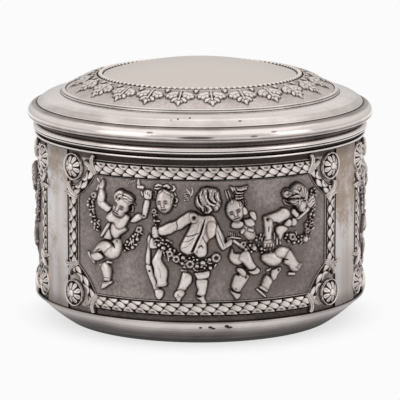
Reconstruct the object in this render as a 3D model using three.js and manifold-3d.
// A round lidded silver box. Three relief sheets of dancing children go round the drum, each in
// a laurel frame with a rosette roundel in every corner, and plain upright strips cover the seams.
// Millimetres, +Z up, the origin in the middle of the foot, the first sheet facing -Y.

import * as THREE from 'three';
import { mergeVertices } from 'three/addons/utils/BufferGeometryUtils.js';
import Module from 'manifold-3d';

const wasm = await Module();
wasm.setup();

// Counts
const ringFacets = 36;          // facets round each turned ring
const sheets = 3;               // figured sheets round the drum
const leaves = 24;              // leaves on the lid
const petals = 8;               // petals of a rosette

// Drum
const wallR = 65.8;             // ground of the figured sheets
const sheetT = 0.9;             // metal of a sheet
const sheetH = 64.05;           // height of a sheet
const seamTurn = 1.2;           // degrees left open between two sheets
const fit = 0.3;                // running gap between fitted pieces

// Inner cup
const cupWall = 1.0;
const cupFloor = 1.0;
const cupCorner = 4.0;          // chamfer round the floor
const cupPlay = 0.9;            // the cup stands this far inside the sheets
const bezelH = 5.0;             // how far the cup stands up into the lid

// Base
const footR = 54.2;             // outer edge of the foot
const footLand = 3.7;           // width of the flat that the box rests on
const baseH = 11.25;            // height of the base moulding
const baseLip = 1.5;            // how far its shoulder stands out from the sheets
const ledgeDrop = 3.65;         // the ledge of the base plate, below the top of the base
const ledgeW = 1.8;
const plateT = 1.2;             // base plate
const plateInset = 2.8;         // its seat ends this far inside the cup's wall
const lipFall = 0.5;            // the base's top edge is drawn in this much

// Neck and mouth
const wireLip = 1.2;            // the neck wire stands out from the sheets
const wireH = 1.2;
const mouthH = 3.8;             // groove and double ring at the mouth
const mouthLip = 2.0;
const mouthGroove = 0.2;        // depth of the groove below it, out from the sheets
const seatH = 1.2;              // the lid's seat above the double ring
const seatW = 1.6;

// Lid
const rimLip = 4.2;             // the rim stands out from the sheets
const rimH = 6.5;               // seat to the top of the rim
const rimGap = 1.1;             // dark gap under the rim
const coveLip = 0.6;            // the cove's foot, where the rim ends, out from the sheets
const coveRise = 4.5;           // lid cove, up to the fillet
const coveInR = 56.5;           // inner edge of the lid cove
const coveT = 1.1;
const filletW = 1.8;
const filletH = 1.4;
const filletFall = 0.4;         // the fillet's face leans in
const coveLedge = 2.0;          // the cove carries the band's outer edge on this ledge
const bandRise = 5.5;           // from the fillet up to the ledge of the beads
const bandLip = 1.0;            // the border of the band stands over that ledge
const bandLipW = 0.5;
const bandT = 1.0;
const bandLean = 1.7;           // the band's outer edge is bevelled in underneath
const beadLedge = 2.0;          // the band's ledge reaches this far inside the beads
const plateSeat = 1.6;          // width of the lid plate's flat underside at its edge
const leafH = 0.8;              // how far a leaf stands up
const beadR = 40.4;             // circle of the beads
const beadSize = 1.9;
const beadPitch = 2.35;         // from bead to bead along their circle
const crownH = 7.0;             // crown of the plate over the ledge
const lidPlateT = 1.0;

// Strips, frames and roundels
const stripTurn = 13.4;         // degrees covered by an upright strip
const stripT = 0.5;
const laurelHalf = 2.75;        // half width of a laurel band
const cornerShare = 0.72;       // the band is drawn in where it cuts a corner
const laurelH = 1.5;            // height of its leaves over the sheet
const laurelTop = 5.3;          // centre of the upper band below the edge of the sheet
const laurelLow = 5.0;          // centre of the lower band above the edge of the sheet
const laurelTurn = 49.9;        // degrees from the middle of a sheet to its upright band
const roundelR = 5.45;
const roundelTurn = 49.6;       // degrees from the middle of a sheet to a roundel
const roundelTop = 6.4;         // centre of an upper roundel below the edge of the sheet
const roundelLow = 6.75;        // centre of a lower roundel above the edge of the sheet
const roundelH = 1.4;            // ring of a roundel
const roundelDome = 2.6;         // its flower swells up to the boss

// Heights, stacked up from the foot
const ledgeZ = baseH - ledgeDrop;
const cupZ = ledgeZ + plateT;
const sheetTop = baseH + sheetH;
const wireTop = sheetTop + wireH;
const mouthTop = wireTop + mouthH;
const seatZ = mouthTop + seatH;
const cupTop = seatZ + bezelH;
const rimTop = seatZ + rimH;
const shelfZ = rimTop + coveRise;
const bandTop = shelfZ + bandRise;

// Radii, from the sheets inwards
const cupR = wallR - sheetT - cupPlay;
const collarR = cupR + fit;
const seatR = collarR + seatW;
const ledgeR = cupR - plateInset;
const coveFootR = wallR + coveLip;
const grooveR = coveInR - 0.1;
const filletR = grooveR - filletW;

const degree = Math.PI / 180;
const sheetTurn = 360 / sheets - seamTurn;

// The figures are drawn flat, in units from the middle of a sheet's lower edge.
const drawnWide = 137.5;
const drawnHigh = 64;
const unitTurn = (sheetTurn / drawnWide) * degree;
const unitUp = sheetH / drawnHigh;

function bodyOf(points, faces) {
  const geometry = new THREE.BufferGeometry();
  const flat = points.flatMap((p) => [p.x, p.y, p.z]);
  geometry.setAttribute('position', new THREE.Float32BufferAttribute(flat, 3));
  geometry.setIndex(faces.flat());
  return geometry;
}

function solidOf(geometry) {
  const bare = geometry.clone();
  bare.deleteAttribute('normal');
  bare.deleteAttribute('uv');
  const merged = mergeVertices(bare, 1e-5);
  const vertProperties = new Float32Array(merged.getAttribute('position').array);
  const triVerts = new Uint32Array(merged.getIndex().array);
  return new wasm.Manifold(new wasm.Mesh({ numProp: 3, vertProperties, triVerts }));
}

function geometryOf(solid) {
  const mesh = solid.getMesh();
  const geometry = new THREE.BufferGeometry();
  geometry.setAttribute('position', new THREE.Float32BufferAttribute(mesh.vertProperties, 3));
  geometry.setIndex(Array.from(mesh.triVerts));
  return geometry;
}

// A ring or disc turned about Z, from its half section [radius, height] run upwards outside.
function turned(section, closed, facets = ringFacets) {
  const outline = section.map(([r, z]) => new THREE.Vector2(r, z));
  if (closed) outline.push(outline[0].clone());
  const geometry = new THREE.LatheGeometry(outline, facets);
  geometry.rotateX(Math.PI / 2);
  return geometry;
}

// A point on the drum: degrees from the middle of the sheet, height, and lift off the ground.
function onDrum(turn, z, lift) {
  const angle = turn * degree;
  const r = wallR + lift;
  return new THREE.Vector3(r * Math.sin(angle), -r * Math.cos(angle), z);
}

function onSheet(u, v, lift) {
  return onDrum((u * unitTurn) / degree, baseH + v * unitUp, lift);
}

function baseMoulding() {
  const shoulder = wallR + baseLip;
  const run = shoulder - footR;
  const section = [
    [footR - footLand, 0],
    [footR, 0],
    [footR + 0.30 * run, 0.24 * baseH],
    [footR + 0.80 * run, 0.74 * baseH],
    [shoulder, 0.95 * baseH],
    [shoulder - lipFall, baseH],
    [collarR, baseH],
    [ledgeR, ledgeZ + plateT],
    [ledgeR, ledgeZ],
    [ledgeR - ledgeW, ledgeZ],
    [footR - footLand, 0.12 * baseH],
  ];
  return turned(section, true);
}

function basePlate() {
  const r = ledgeR - fit;
  return turned([[0, ledgeZ], [r, ledgeZ], [r, cupZ], [0, cupZ]], false, 24);
}

function innerCup() {
  const inside = cupR - cupWall;
  const section = [
    [0, cupZ],
    [cupR - cupCorner, cupZ],
    [cupR, cupZ + cupCorner],
    [cupR, cupTop],
    [inside, cupTop],
    [inside, cupZ + cupCorner + 0.4 * cupWall],
    [inside - cupCorner + cupFloor, cupZ + cupFloor],
    [0, cupZ + cupFloor],
  ];
  return turned(section, false);
}

function neckWire() {
  const section = [
    [collarR, sheetTop],
    [wallR + 0.4 * wireLip, sheetTop],
    [wallR + wireLip, sheetTop + 0.3 * wireH],
    [wallR + wireLip, sheetTop + 0.7 * wireH],
    [wallR + 0.6 * wireLip, wireTop],
    [collarR, wireTop],
  ];
  return turned(section, true);
}

function mouthMoulding() {
  const out = wallR + mouthLip;
  const section = [
    [collarR, wireTop],
    [wallR + mouthGroove, wireTop],
    [wallR + mouthGroove, wireTop + 0.28 * mouthH],
    [out - 0.3, wireTop + 0.38 * mouthH],
    [out, wireTop + 0.72 * mouthH],
    [out - 0.7, mouthTop],
    [seatR, mouthTop],
    [seatR, seatZ],
    [collarR, seatZ],
  ];
  return turned(section, true);
}

function lidRim() {
  const out = wallR + rimLip;
  const low = seatZ + rimGap;
  const high = rimTop - low;
  const section = [
    [collarR, seatZ],
    [seatR, seatZ],
    [seatR + 0.3, low],
    [out - 1.1, low],
    [out, low + 0.34 * high],
    [out - 0.3, low + 0.60 * high],
    [out - 1.6, low + 0.86 * high],
    [coveFootR, rimTop],
    [collarR, rimTop],
  ];
  return turned(section, true);
}

function lidCove() {
  const section = [
    [collarR, rimTop],
    [coveFootR - 0.4, rimTop],
    [coveFootR - 1.2, rimTop + 0.28 * coveRise],
    [0.5 * (coveFootR + coveInR), rimTop + 0.74 * coveRise],
    [grooveR, shelfZ - 0.2 * filletH],
    [grooveR - filletFall, shelfZ + 0.8 * filletH],
    [filletR, shelfZ + 0.8 * filletH],
    [filletR, shelfZ],
    [filletR - coveLedge, shelfZ],
    [filletR - coveLedge, shelfZ - coveT],
    [collarR - coveT, rimTop + 0.5 * coveT],
  ];
  return turned(section, true);
}

// The leaf band's own slope, from the fillet up to the border round the beads.
const lipR = (beadR + 0.5 * beadSize + fit) / Math.cos(Math.PI / leaves);
const bandInR = lipR + bandLipW;
const bandOutR = filletR - fit;
const bandLowZ = shelfZ + 0.8;
const bandEdgeZ = bandTop + 0.7 * bandLip;

function bandPoint(turn, r, lift) {
  const share = (bandOutR - r) / (bandOutR - bandInR);
  const bulge = 0.5 * Math.sin(Math.PI * THREE.MathUtils.clamp(share, 0, 1));
  const z = bandLowZ + share * (bandEdgeZ - bandLowZ) + bulge + lift;
  const angle = turn * degree;
  return new THREE.Vector3(r * Math.sin(angle), -r * Math.cos(angle), z);
}

// The band turns as one ring of like sectors. Each holds one leaf: two broad lobes by the beads, a
// smaller pair and a pointed tip on either side of a middle rib, over the sunk ground.
function leafBand() {
  const half = 180 / leaves;
  const run = bandOutR - bandInR;
  const points = [];
  const at = (turn, side, reach, lift) => {
    points.push(bandPoint(turn + side * half, bandInR + reach * run, lift * leafH));
    return points.length - 1;
  };
  const innerR = beadR - 0.5 * beadSize - beadLedge;
  const under = [
    [bandInR - 0.2, bandTop + bandLip],
    [lipR, bandTop + bandLip],
    [lipR, bandTop],
    [innerR, bandTop],
    [innerR, bandTop - bandT],
    [bandInR, bandEdgeZ - 1.3 * bandT],
    [bandOutR - bandLean, shelfZ],
    [bandOutR, shelfZ],
  ];
  const seams = [];
  for (let i = 0; i < leaves; i += 1) {
    const turn = ((i - 0.2) * 360) / leaves;
    const seam = { inner: at(turn, 0, 0, 0), valley: at(turn, 0, 0.34, 0), outer: at(turn, 0, 1, 0) };
    const angle = turn * degree;
    seam.under = under.map(([r, z]) => {
      points.push(new THREE.Vector3(r * Math.sin(angle), -r * Math.cos(angle), z));
      return points.length - 1;
    });
    seams.push(seam);
  }
  const faces = [];
  for (let i = 0; i < leaves; i += 1) {
    const turn = ((i + 0.3) * 360) / leaves;
    const near = seams[i];
    const far = seams[(i + 1) % leaves];
    const root = at(turn, 0, 0.08, 0.6);
    const rib = at(turn, 0, 0.42, 0.5);
    const crest = at(turn, 0, 0.70, 1);
    const tip = at(turn, 0, 0.88, 0);
    const sides = [-1, 1].map((side) => ({
      seam: side < 0 ? near : far,
      base: at(turn, 0.78 * side, 0.08, 0),
      lobe: at(turn, 0.5 * side, 0.24, 1.3),
      wing: at(turn, 0.92 * side, 0.34, 0),
      notch: at(turn, 0.5 * side, 0.47, 0),
      small: at(turn, 0.27 * side, 0.55, 1),
      point: at(turn, 0.52 * side, 0.62, 0),
    }));
    sides.forEach((s, k) => {
      const facets = [
        [s.seam.inner, s.seam.valley, s.base], [s.base, s.seam.valley, s.wing],
        [root, s.base, s.lobe], [s.base, s.wing, s.lobe], [s.wing, s.notch, s.lobe],
        [s.lobe, s.notch, s.small], [root, s.lobe, rib], [s.lobe, s.small, rib],
        [s.notch, s.point, s.small], [s.point, tip, crest], [s.point, crest, s.small],
        [s.small, crest, rib], [s.seam.valley, s.seam.outer, s.wing],
        [s.wing, s.seam.outer, s.point], [s.wing, s.point, s.notch],
        [s.seam.outer, tip, s.point],
      ];
      for (const [p, q, r] of facets) faces.push(k === 0 ? [p, q, r] : [p, r, q]);
    });
    faces.push([near.inner, sides[0].base, root], [near.inner, root, far.inner]);
    faces.push([root, sides[1].base, far.inner], [near.outer, far.outer, tip]);
    const nearRing = [near.outer, near.inner, ...near.under];
    const farRing = [far.outer, far.inner, ...far.under];
    for (let k = 1; k < nearRing.length; k += 1) {
      const next = (k + 1) % nearRing.length;
      faces.push([nearRing[k], farRing[k], farRing[next]], [nearRing[k], farRing[next], nearRing[next]]);
    }
  }
  return bodyOf(points, faces);
}

// Beads run together as one wire that swells and narrows.
function beadRing() {
  const beads = Math.round((2 * Math.PI * beadR) / beadPitch);
  const stations = 2 * beads;
  const half = 0.5 * beadSize;
  const points = [];
  for (let i = 0; i < stations; i += 1) {
    const angle = (i / stations) * 2 * Math.PI;
    const size = i % 2 === 0 ? half : 0.4 * half;
    const corners = [[-size, 0], [size, 0], [0, half + size]];
    for (const [out, up] of corners) {
      const r = beadR + out;
      points.push(new THREE.Vector3(r * Math.sin(angle), -r * Math.cos(angle), bandTop + up));
    }
  }
  const faces = [];
  for (let i = 0; i < stations; i += 1) {
    const a = 3 * i;
    const b = 3 * ((i + 1) % stations);
    for (let k = 0; k < 3; k += 1) {
      const next = (k + 1) % 3;
      faces.push([a + k, b + k, b + next], [a + k, b + next, a + next]);
    }
  }
  return bodyOf(points, faces);
}

function lidPlate() {
  const edgeR = beadR - 0.5 * beadSize - fit;
  const rise = crownH - lidPlateT;
  const crown = (share) => bandTop + lidPlateT + rise * (1 - share * share);
  const section = [
    [0, bandTop + crownH - lidPlateT],
    [0.6 * edgeR, crown(0.6) - lidPlateT],
    [edgeR - plateSeat, bandTop],
    [edgeR, bandTop],
    [edgeR, crown(1)],
    [0.85 * edgeR, crown(0.85)],
    [0.65 * edgeR, crown(0.65)],
    [0.35 * edgeR, crown(0.35)],
    [0, bandTop + crownH],
  ];
  return turned(section, false);
}

// A plain curved plate on the drum between two turns, with as many facets as asked for.
function curvedPlate(turnA, turnB, lowZ, highZ, inLift, outLift, facets) {
  const points = [];
  for (let i = 0; i <= facets; i += 1) {
    const turn = turnA + ((turnB - turnA) * i) / facets;
    points.push(onDrum(turn, lowZ, inLift), onDrum(turn, lowZ, outLift));
    points.push(onDrum(turn, highZ, outLift), onDrum(turn, highZ, inLift));
  }
  const faces = [[0, 1, 2], [0, 2, 3]];
  for (let i = 0; i < facets; i += 1) {
    const a = 4 * i;
    const b = a + 4;
    for (let k = 0; k < 4; k += 1) {
      const next = (k + 1) % 4;
      faces.push([a + k, b + k, b + next], [a + k, b + next, a + next]);
    }
  }
  const last = 4 * facets;
  faces.push([last, last + 2, last + 1], [last, last + 3, last + 2]);
  return bodyOf(points, faces);
}

// A rounded form over points [u, v, half width]: a limb, a body or a fold of cloth. Its depth is
// a share of its width, and its underside is buried in the sheet.
function form(stops, depth = 0.85, lift = 0.4) {
  const sunk = -0.5 * sheetT;
  const around = [[1, 0], [0.55, 1], [-0.55, 1], [-1, 0]];
  const points = [];
  const n = stops.length;
  stops.forEach(([u, v, half], i) => {
    const before = stops[Math.max(i - 1, 0)];
    const after = stops[Math.min(i + 1, n - 1)];
    const along = new THREE.Vector2(after[0] - before[0], after[1] - before[1]).normalize();
    for (const [out, up] of around) {
      const high = up > 0 ? half * depth + lift : sunk;
      points.push(onSheet(u - out * half * along.y, v + out * half * along.x, high));
    }
  });
  const ends = [[stops[0], stops[1]], [stops[n - 1], stops[n - 2]]];
  const caps = ends.map(([end, inner]) => {
    const out = new THREE.Vector2(end[0] - inner[0], end[1] - inner[1]).normalize();
    points.push(onSheet(end[0] + 0.9 * end[2] * out.x, end[1] + 0.9 * end[2] * out.y, sunk));
    return points.length - 1;
  });
  const sides = around.length;
  const last = (n - 1) * sides;
  const faces = [];
  for (let k = 0; k < sides; k += 1) {
    const next = (k + 1) % sides;
    for (let i = 0; i < n - 1; i += 1) {
      const a = i * sides;
      const b = a + sides;
      faces.push([a + k, b + next, b + k], [a + k, a + next, b + next]);
    }
    faces.push([caps[0], next, k], [caps[1], last + k, last + next]);
  }
  return solidOf(bodyOf(points, faces));
}

// A head or a curl: a low dome on an oval.
function dome(u, v, wide, high, lift) {
  const sides = 6;
  const rings = [[1, -0.3], [0.72, 0.75]];
  const points = [];
  for (const [share, up] of rings) {
    for (let k = 0; k < sides; k += 1) {
      const a = (k / sides) * 2 * Math.PI + 0.3;
      points.push(onSheet(u + share * wide * Math.cos(a), v + share * high * Math.sin(a), up * lift));
    }
  }
  points.push(onSheet(u, v, lift), onSheet(u, v, -0.6 * sheetT));
  const top = points.length - 2;
  const faces = [];
  for (let k = 0; k < sides; k += 1) {
    const next = (k + 1) % sides;
    faces.push([k, next, sides + next], [k, sides + next, sides + k]);
    faces.push([sides + k, sides + next, top], [next, k, top + 1]);
  }
  return solidOf(bodyOf(points, faces));
}

// A bud or flower of a garland.
function bud(u, v, half) {
  const sides = 4;
  const points = [];
  for (let k = 0; k < sides; k += 1) {
    const a = (k / sides) * 2 * Math.PI + u;
    points.push(onSheet(u + half * Math.cos(a), v + half * Math.sin(a), -0.3));
  }
  points.push(onSheet(u, v, 1.4 * half), onSheet(u, v, -0.6 * sheetT));
  const faces = [];
  for (let k = 0; k < sides; k += 1) {
    const next = (k + 1) % sides;
    faces.push([k, next, sides], [next, k, sides + 1]);
  }
  return solidOf(bodyOf(points, faces));
}

function garland(route, count) {
  const curve = new THREE.CatmullRomCurve3(route.map(([u, v]) => new THREE.Vector3(u, v, 0)));
  return curve.getSpacedPoints(count - 1).map((p, i) => bud(p.x, p.y, i % 2 === 0 ? 1.5 : 1.2));
}

// The five children, left to right. Each stop is [u, v, half width] on the flat drawing.
function leapingChild() {
  return [
    dome(-32, 46, 4.6, 5.4, 3.4),
    form([[-35.9, 39.4, 4.0], [-36, 35.2, 3.5], [-35, 31.6, 2.6]], 0.75),
    form([[-34.2, 26.8, 3.9], [-38.5, 27, 3.9], [-47.4, 24.4, 2.0]], 0.95),
    form([[-39.1, 21.6, 2.3], [-40.3, 16.3, 2.3], [-39.6, 13.6, 1.3], [-42.6, 11.3, 1.0]], 0.9),
    form([[-38.7, 41.2, 1.9], [-41.4, 46, 1.8], [-41.8, 53, 1.3]]),
    form([[-29.6, 39.8, 1.9], [-24, 41.8, 1.7], [-22, 50, 1.6]]),
  ];
}

function hiddenChild() {
  return [
    dome(-14.7, 48.8, 4.5, 5.0, 2.6),
    form([[-20.2, 33.4, 2.0], [-21.6, 22.4, 1.6], [-17.8, 11.2, 1.5]], 0.8),
    form([[-17, 28.2, 1.9], [-17.8, 22.3, 2.2], [-16.7, 15.0, 1.6]], 1.0),
  ];
}

function middleChild() {
  return [
    dome(2.1, 48.8, 5.0, 5.4, 3.3),
    form([[0.3, 41.0, 5.2], [-1.4, 34.5, 5.4], [-2.4, 26, 4.6]], 0.55),
    form([[-5, 41.2, 2.1], [-11.5, 38.2, 1.9], [-19, 35.4, 1.7]], 0.95),
    form([[5.8, 39.6, 2.2], [7.6, 32.4, 1.9], [9.9, 31.2, 1.3]], 1.0),
    form([[-6.6, 21.6, 2.6], [-7, 16.6, 2.5], [-9.2, 10.9, 1.8]], 0.95),
    form([[-0.2, 21, 2.8], [-0.3, 15.6, 2.4], [0.2, 9.8, 1.3]], 0.95),
  ];
}

function crossingChild() {
  return [
    dome(13.1, 44.8, 4.2, 4.8, 3.0),
    dome(13.8, 50.8, 3.0, 1.6, 2.2),
    form([[18.4, 39.6, 3.0], [15.4, 32, 3.4]], 0.7),
    form([[19.6, 37, 1.8], [13.3, 37.6, 2.1]], 1.3),
    form([[13.4, 26.2, 3.9], [18.8, 23.6, 2.6], [22.4, 19, 1.2]], 0.9),
    form([[14.4, 19.6, 2.4], [14.2, 15.6, 2.3], [12.6, 10.8, 1.2]], 0.9),
  ];
}

function followingChild() {
  return [
    dome(38.6, 47.6, 4.9, 5.3, 3.4),
    dome(33.9, 50.4, 1.9, 1.9, 2.4),
    form([[34.2, 41.8, 2.5], [26.2, 40.6, 1.9], [26.4, 30.4, 1.6]], 1.0),
    form([[35, 37.8, 3.2], [32, 31.4, 2.8]], 0.75),
    form([[28, 24.9, 3.8], [32.4, 26, 3.4], [36.6, 22.8, 2.3], [41.4, 19.4, 1.3]], 0.95),
    form([[28.8, 19.4, 2.0], [26.2, 15.6, 2.2], [24.2, 11, 1.2]], 0.9),
    form([[39.4, 39.4, 1.6], [45.2, 44.6, 1.3]]),
  ];
}

function garlands() {
  return [
    garland([[-47, 48.6], [-46.4, 41], [-44.6, 35.4]], 4),
    garland([[-25.4, 35.6], [-30.2, 29.4]], 3),
    garland([[-13.6, 28.8], [-8.6, 23.6], [5, 25.4]], 5),
    garland([[17, 30.2], [23, 27.6]], 3),
    garland([[38.4, 31.2], [44.4, 32], [48.4, 41.4]], 4),
  ].flat();
}

function figuredSheet() {
  const facets = 12;
  const half = 0.5 * sheetTurn;
  const plate = curvedPlate(-half, half, baseH, sheetTop, -sheetT, 0, facets);
  const figures = [
    leapingChild(), hiddenChild(), middleChild(), crossingChild(), followingChild(), garlands(),
  ].flat();
  return geometryOf(figures.reduce((sum, piece) => sum.add(piece), solidOf(plate)));
}

// The laurel band goes round the field: straight on its sides, and cutting inside each roundel.
function laurelRoute() {
  const side = (laurelTurn * degree) / unitTurn;
  const top = (sheetH - laurelTop) / unitUp;
  const low = laurelLow / unitUp;
  const in1 = 11.4;             // how far a corner reaches along the field
  const upA = 11.6;             // and down or up its sides
  const upB = 13.0;
  const bow = 0.9;
  const corner = (sx, levelZ, rise) => {
    const a = new THREE.Vector2(sx * (side - in1), levelZ);
    const b = new THREE.Vector2(sx * side, levelZ + rise);
    const inward = new THREE.Vector2(-sx * bow, Math.sign(rise) * bow);
    return [a, a.clone().lerp(b, 1 / 3).add(inward), a.clone().lerp(b, 2 / 3).add(inward), b];
  };
  const ends = [
    corner(1, top, -upA), corner(1, low, upB).reverse(),
    corner(-1, low, upB), corner(-1, top, -upA).reverse(),
  ];
  const pitch = 5.15;
  const nodes = [];
  const knots = [];
  const drawnIn = [];
  ends.forEach((bend, k) => {
    bend.forEach((p, i) => {
      if (i === 0 || i === bend.length - 1) knots.push(nodes.length);
      if (i < bend.length - 1) drawnIn.push(nodes.length);
      nodes.push(p);
    });
    const from = bend[bend.length - 1];
    const to = ends[(k + 1) % ends.length][0];
    const count = Math.round(from.distanceTo(to) / pitch);
    for (let i = 1; i < count; i += 1) nodes.push(from.clone().lerp(to, i / count));
  });
  return { nodes, knots, drawnIn };
}

// Rhombic leaves in a staggered row with half leaves along both edges. At each knot the half
// leaves give way to a crossed ribbon, narrow over the middle and flared past both edges.
function laurelFrame() {
  const { nodes, knots, drawnIn } = laurelRoute();
  const n = nodes.length;
  const low = 0.35;
  const flare = 1.25;
  const reach = 1.3;
  const points = [];
  const add = (q, along, out, side, lift) => {
    const u = q.x - out * along.y + side * along.x;
    const v = q.y + out * along.x + side * along.y;
    points.push(onSheet(u, v, lift));
    return points.length - 1;
  };
  const stops = nodes.map((p, i) => {
    const next = nodes[(i + 1) % n];
    const before = nodes[(i - 1 + n) % n];
    const mid = p.clone().lerp(next, 0.5);
    const along = next.clone().sub(p).normalize();
    const across = next.clone().sub(before).normalize();
    const knot = knots.includes(i);
    const half = (drawnIn.includes(i) ? cornerShare : 1) * laurelHalf;
    const out = knot ? reach * laurelHalf : 0.66 * half;
    const sides = knot ? [-flare, flare] : [0];
    const lift = (knot ? 0.7 : 0.85) * laurelH;
    return {
      cross: add(p, across, 0, 0, (knot ? 1.5 : 0.45) * laurelH),
      crest: add(p.clone().lerp(next, 0.4), along, 0, 0, laurelH),
      left: add(mid, along, half, 0, low),
      right: add(mid, along, -half, 0, low),
      leftTips: sides.map((side) => add(p, across, out, side, lift)),
      rightTips: sides.map((side) => add(p, across, -out, side, lift)),
    };
  });
  const faces = [];
  stops.forEach((s, i) => {
    const next = stops[(i + 1) % n];
    const last = stops[(i - 1 + n) % n];
    faces.push([s.cross, s.right, s.crest], [s.right, next.cross, s.crest]);
    faces.push([next.cross, s.left, s.crest], [s.left, s.cross, s.crest]);
    faces.push([s.right, last.right, last.left], [s.right, last.left, s.left]);
    const leftRun = [last.left, ...s.leftTips, s.left];
    const rightRun = [last.right, ...s.rightTips, s.right];
    for (let k = 0; k < leftRun.length - 1; k += 1) {
      faces.push([s.cross, leftRun[k + 1], leftRun[k]], [s.cross, rightRun[k], rightRun[k + 1]]);
    }
    for (let k = 1; k < leftRun.length - 1; k += 1) {
      const final = leftRun.length - 1;
      if (k < final - 1) {
        faces.push([leftRun[0], leftRun[k], leftRun[k + 1]]);
        faces.push([rightRun[0], rightRun[k + 1], rightRun[k]]);
      } else {
        faces.push([leftRun[0], leftRun[k], leftRun[final]]);
        faces.push([rightRun[0], rightRun[final], rightRun[k]]);
      }
    }
  });
  return bodyOf(points, faces);
}

// A point of a roundel: its angle round the middle, how far out, and lift off the ground.
function onRoundel(turn, z, angle, r, lift) {
  const out = (r * Math.cos(angle)) / (wallR * degree);
  return onDrum(turn + out, z + r * Math.sin(angle), lift);
}

// A rosette roundel: raised ring, petals that swell up from a sunk dish, and a centre boss.
function roundel(turn, z) {
  const sides = 2 * petals;
  const low = 0.35;
  const rings = [
    [1, low, low],
    [0.88, roundelH, roundelH],
    [0.52, 0.66 * roundelDome, 0.3 * roundelDome],
  ];
  const at = (a, share, lift) => onRoundel(turn, z, a, share * roundelR, lift);
  const points = [];
  for (const [share, crest, valley] of rings) {
    for (let k = 0; k < sides; k += 1) {
      points.push(at((k / sides) * 2 * Math.PI, share, k % 2 === 0 ? crest : valley));
    }
  }
  points.push(at(0, 0, roundelDome), at(0, 0, low));
  const boss = points.length - 2;
  const faces = [];
  for (let k = 0; k < sides; k += 1) {
    const next = (k + 1) % sides;
    for (let i = 0; i < rings.length - 1; i += 1) {
      const a = i * sides;
      const b = a + sides;
      faces.push([a + k, a + next, b + next], [a + k, b + next, b + k]);
    }
    const last = (rings.length - 1) * sides;
    faces.push([last + k, last + next, boss], [next, k, boss + 1]);
  }
  return bodyOf(points, faces);
}

// The room that a roundel takes out of the strip beside it.
function roundelSeat(turn, z) {
  const sides = 2 * petals;
  const points = [];
  for (const lift of [0, 2 * (fit + stripT)]) {
    for (let k = 0; k < sides; k += 1) {
      points.push(onRoundel(turn, z, (k / sides) * 2 * Math.PI, roundelR + fit, lift));
    }
  }
  const faces = [];
  for (let k = 0; k < sides; k += 1) {
    const next = (k + 1) % sides;
    faces.push([k, next, sides + next], [k, sides + next, sides + k]);
    if (k > 0 && next > 0) faces.push([0, next, k], [sides, sides + k, sides + next]);
  }
  return solidOf(bodyOf(points, faces));
}

function uprightStrip() {
  const half = 0.5 * stripTurn;
  const mid = 180 / sheets;
  const plate = curvedPlate(mid - half, mid + half, baseH, sheetTop, fit, fit + stripT, 4);
  const seats = [roundelTurn, 2 * mid - roundelTurn].flatMap((turn) => [
    roundelSeat(turn, sheetTop - roundelTop), roundelSeat(turn, baseH + roundelLow),
  ]);
  return geometryOf(seats.reduce((strip, seat) => strip.subtract(seat), solidOf(plate)));
}

// Silver finishes
const polished = { color: 0xd9d2ce, roughness: 0.28, metalness: 1 };
const chased = { color: 0xb4aca9, roughness: 0.42, metalness: 1 };
const satin = { color: 0xcfc8c2, roughness: 0.5, metalness: 1 };
const plain = { color: 0xc2bcb6, roughness: 0.4, metalness: 1 };

function piece(name, geometry, finish) {
  const flatShaded = geometry.index ? geometry.toNonIndexed() : geometry;
  flatShaded.computeVertexNormals();
  const mesh = new THREE.Mesh(flatShaded, new THREE.MeshStandardMaterial(finish));
  mesh.name = name;
  return mesh;
}

const box = new THREE.Group();
const body = new THREE.Group();
const lid = new THREE.Group();
box.add(body, lid);

body.add(piece('base_moulding', baseMoulding(), polished));
body.add(piece('base_plate', basePlate(), plain));
body.add(piece('inner_liner', innerCup(), plain));
body.add(piece('neck_wire', neckWire(), polished));
body.add(piece('mouth_moulding', mouthMoulding(), polished));

const sheetGeometry = figuredSheet();
const frameGeometry = laurelFrame();
const stripGeometry = uprightStrip();
const corners = [
  ['top_left', -roundelTurn, sheetTop - roundelTop],
  ['top_right', roundelTurn, sheetTop - roundelTop],
  ['bottom_left', -roundelTurn, baseH + roundelLow],
  ['bottom_right', roundelTurn, baseH + roundelLow],
];

for (let i = 0; i < sheets; i += 1) {
  const side = new THREE.Group();
  const number = i + 1;
  side.add(piece(`figure_panel_${number}`, sheetGeometry, chased));
  side.add(piece(`laurel_frame_${number}`, frameGeometry, chased));
  side.add(piece(`upright_strip_${number}`, stripGeometry, polished));
  for (const [corner, turn, z] of corners) {
    side.add(piece(`roundel_${number}_${corner}`, roundel(turn, z), chased));
  }
  side.rotation.z = (i / sheets) * 2 * Math.PI;
  body.add(side);
}

lid.add(piece('lid_rim', lidRim(), polished));
lid.add(piece('lid_cove', lidCove(), polished));
lid.add(piece('leaf_band', leafBand(), chased));
lid.add(piece('bead_ring', beadRing(), chased));
lid.add(piece('lid_plate', lidPlate(), satin));

export default box;
